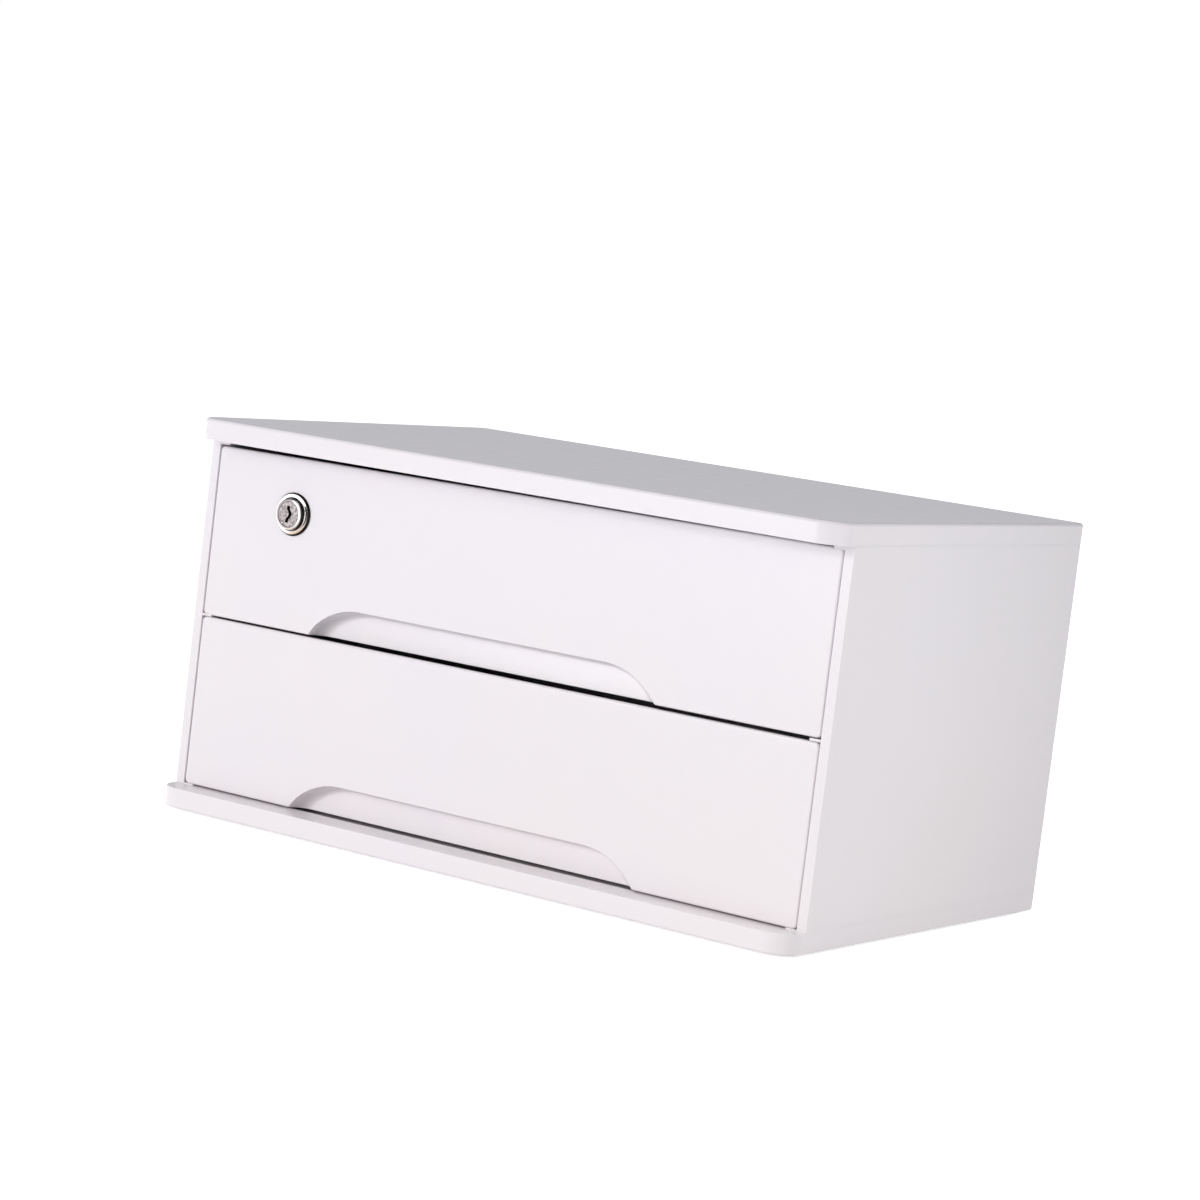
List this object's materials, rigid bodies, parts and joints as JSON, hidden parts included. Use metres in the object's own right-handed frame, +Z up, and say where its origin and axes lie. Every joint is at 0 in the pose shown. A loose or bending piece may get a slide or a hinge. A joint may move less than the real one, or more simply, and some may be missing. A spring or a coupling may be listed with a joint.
{
  "type": "desktop file drawer",
  "caption": "White moulded desktop cabinet with stacked file drawers, scooped finger pulls, front lips along top and base, a cam lock on the upper drawer and rubber feet.",
  "frame": {"origin": "on the desk under the middle of the cabinet, at the undersides of the feet", "axes": "+X to the right as seen from the front, +Y to the back, +Z up; the drawers pull out towards -Y"},
  "size_m": [0.38, 0.25, 0.2015],
  "materials": {
    "white_abs": "smooth semi-gloss moulded ABS",
    "white_abs_satin": "satin moulded ABS",
    "milky_pom": "slightly waxy acetal",
    "grey_rubber": "matte",
    "zinc_steel": "zinc plated",
    "lock_chrome": "polished plating",
    "lock_satin": "satin turned face"
  },
  "bodies": {
    "housing": {"back_panel": "white_abs_satin", "back_screw_left": "zinc_steel", "back_screw_middle": "zinc_steel", "back_screw_right": "zinc_steel", "base_panel": "white_abs", "floor_glide_left": "milky_pom", "floor_glide_right": "milky_pom", "foot_front_left": "grey_rubber", "foot_front_right": "grey_rubber", "foot_rear_left": "grey_rubber", "foot_rear_right": "grey_rubber", "side_panel_left": "white_abs", "side_panel_right": "white_abs", "side_rail_left": "milky_pom", "side_rail_right": "milky_pom", "top_panel": "white_abs"},
    "upper_drawer": {"upper_drawer_front": "white_abs", "upper_drawer_tray": "white_abs_satin", "upper_front_screw_high_left": "zinc_steel", "upper_front_screw_high_right": "zinc_steel", "upper_front_screw_low_left": "zinc_steel", "upper_front_screw_low_right": "zinc_steel", "lock_barrel": "lock_chrome", "lock_nut": "zinc_steel"},
    "lower_drawer": {"lower_drawer_front": "white_abs", "lower_drawer_tray": "white_abs_satin", "lower_front_screw_high_left": "zinc_steel", "lower_front_screw_high_right": "zinc_steel", "lower_front_screw_low_left": "zinc_steel", "lower_front_screw_low_right": "zinc_steel"},
    "lock_cylinder": {"lock_plug": "lock_satin", "lock_cam": "zinc_steel", "lock_washer": "zinc_steel", "lock_cam_screw": "zinc_steel"}
  },
  "joints": [
    {"name": "upper_drawer_slide", "type": "slide", "parent": "housing", "child": "upper_drawer", "axis": [0, -1, 0], "range_m": [0, 0.16]},
    {"name": "lower_drawer_slide", "type": "slide", "parent": "housing", "child": "lower_drawer", "axis": [0, -1, 0], "range_m": [0, 0.16]},
    {"name": "lock_turn", "type": "hinge", "parent": "upper_drawer", "child": "lock_cylinder", "pos_m": [-0.133, -0.109, 0.1593], "axis": [0, 1, 0], "range_deg": [0, 90]}
  ]
}
